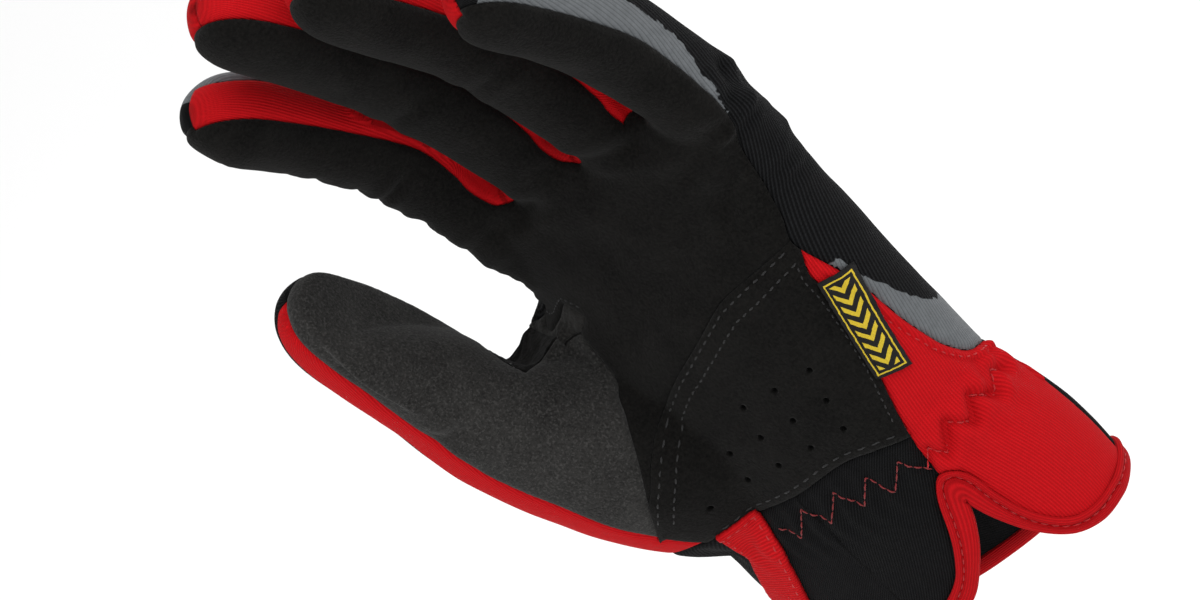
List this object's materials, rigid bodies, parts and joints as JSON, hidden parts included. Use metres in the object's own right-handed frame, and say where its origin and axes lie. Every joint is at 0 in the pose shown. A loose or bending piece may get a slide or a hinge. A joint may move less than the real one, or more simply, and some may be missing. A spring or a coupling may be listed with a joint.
{
  "type": "mechanic glove",
  "caption": "Left-hand work glove with suede palm, knitted back, perforated heel pad, red finger walls, short elastic cuff with bound rim and pull strap.",
  "frame": {"origin": "centre of the wrist opening, level with the lowest point of the cuff rim on the back of the hand", "axes": "+Z from the wrist towards the fingertips, palm faces -Y, little finger at +X, thumb at -X"},
  "size_m": [0.1102, 0.0752, 0.2387],
  "materials": {
    "black_suede": "matte, napped",
    "black_knit": "ribbed knit",
    "grey_suede": "matte, napped",
    "red_knit": "fine stretch knit",
    "red_webbing": "woven tape",
    "label_weave": "satin woven label"
  },
  "bodies": {
    "root": {"palm_panel": "black_suede", "heel_panel": "black_suede", "thumb_panel": "grey_suede", "thumb_strip": "red_knit", "thumb_back": "black_knit", "web_gusset": "black_suede", "web_patch": "grey_suede", "side_wall_fore_middle": "red_knit", "side_wall_middle_ring": "red_knit", "side_wall_ring_little": "red_knit", "back_panel": "black_knit", "cuff_side": "red_knit", "cuff_palm": "black_knit", "cuff_back": "black_knit", "rim_binding": "red_webbing", "pull_strap": "red_webbing", "side_label": "label_weave"}
  },
  "joints": []
}
